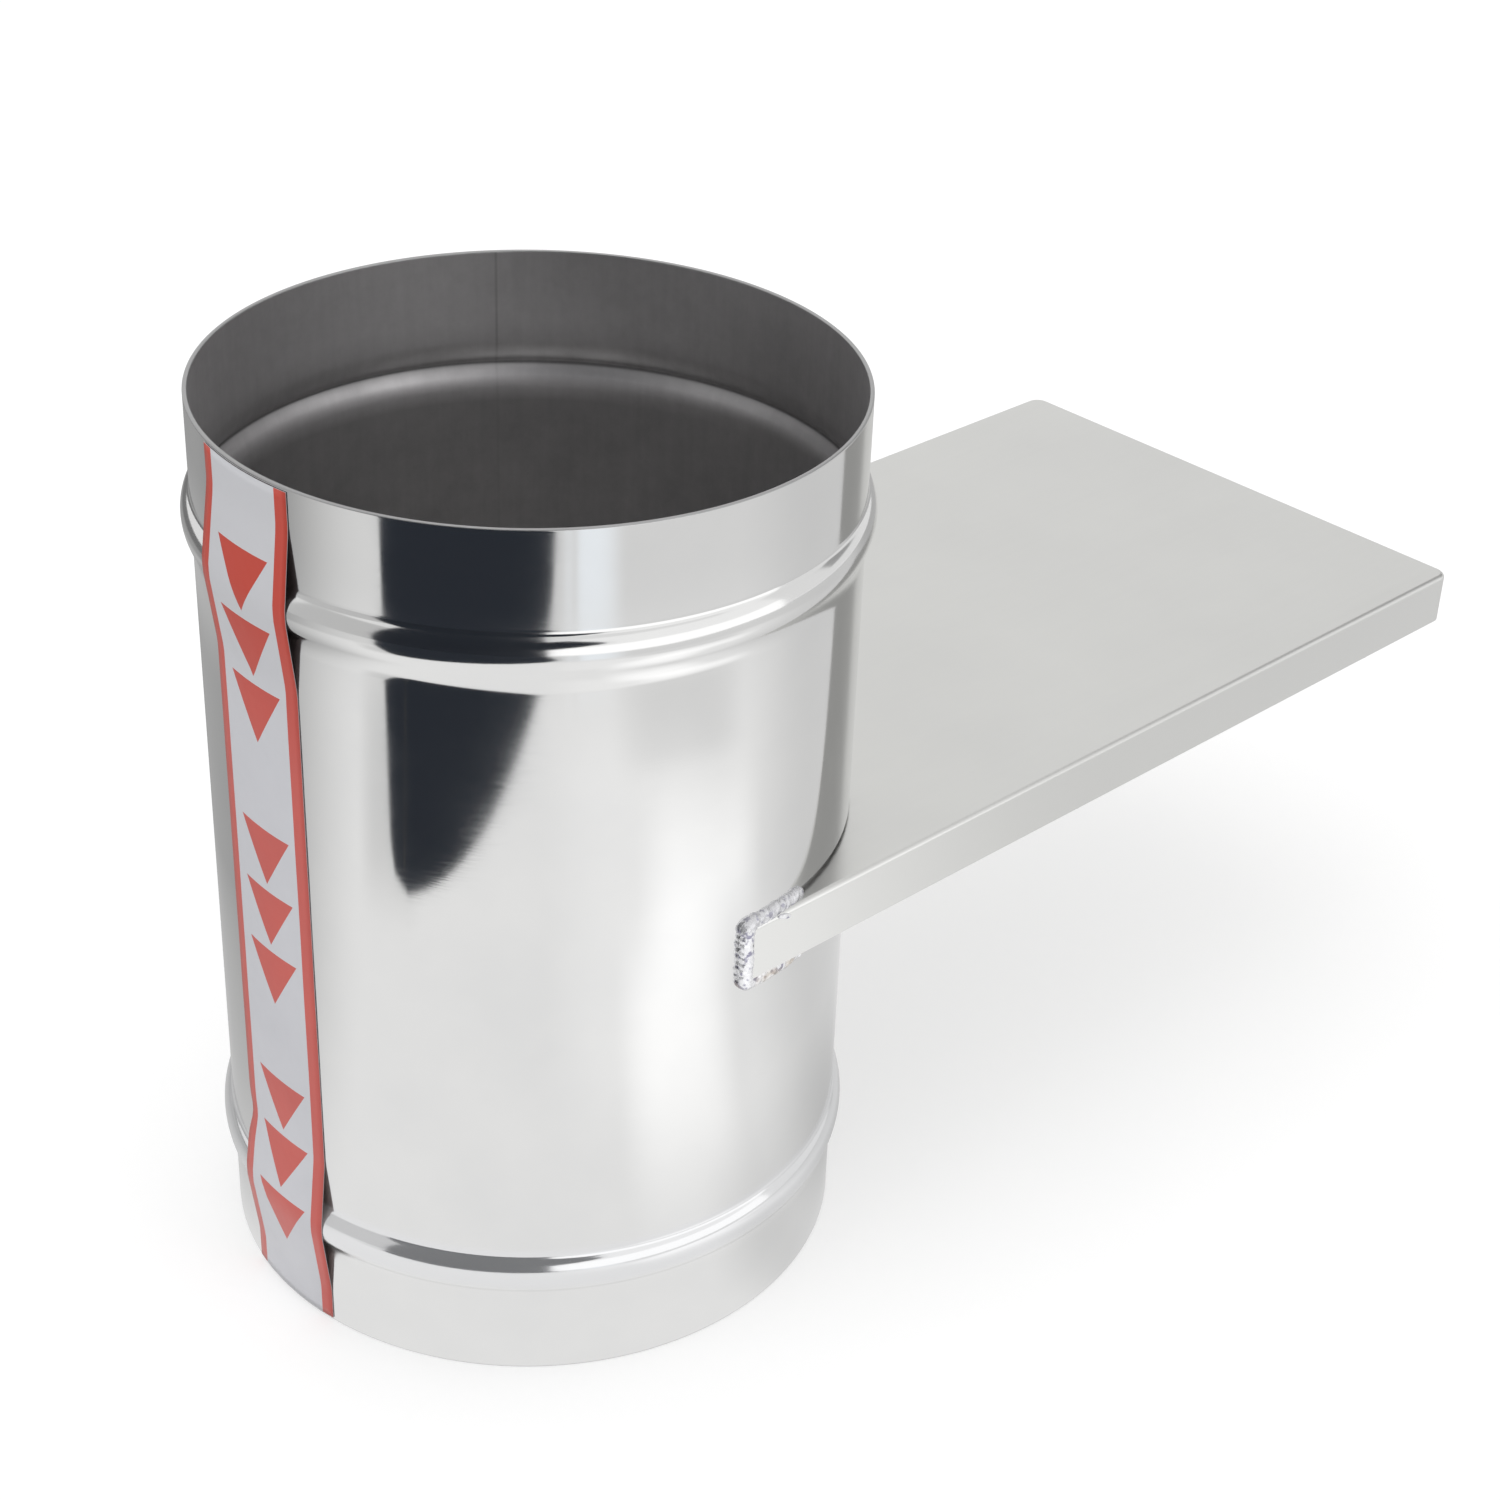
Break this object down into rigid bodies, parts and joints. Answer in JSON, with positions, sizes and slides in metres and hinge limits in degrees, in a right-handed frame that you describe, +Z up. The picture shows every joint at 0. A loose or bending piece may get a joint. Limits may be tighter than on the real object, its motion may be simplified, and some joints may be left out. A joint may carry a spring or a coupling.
{
  "type": "duct slide gate",
  "caption": "Round beaded flue pipe with a flat case welded into a slot at mid height, where a sheet blade slides across the bore to shut or open the duct.",
  "frame": {"origin": "centre of the pipe's lower rim, on the pipe's axis", "axes": "+Z up the pipe, +X the way the blade is pulled to open the duct, +Y across the case"},
  "size_m": [0.3545, 0.1558, 0.22],
  "materials": {
    "polished_steel": "mirror polished outside, dull inside",
    "satin_steel": "satin rolled sheet",
    "blade_steel": "satin rolled sheet",
    "weld_metal": "rippled weld with a faint heat tint",
    "printed_film": "thin film with printed edge lines and plain arrows"
  },
  "bodies": {
    "pipe_and_case": {"flue_pipe": "polished_steel", "gate_case": "satin_steel", "case_floor": "satin_steel", "guide_rail_near": "satin_steel", "guide_rail_far": "satin_steel", "corner_welds": "weld_metal", "seam_tacks": "weld_metal", "arrow_film": "printed_film"},
    "blade": {"slide_blade": "blade_steel"}
  },
  "joints": [
    {"name": "blade_slide", "type": "slide", "parent": "pipe_and_case", "child": "blade", "axis": [1, 0, 0], "range_m": [0, 0.148]}
  ]
}
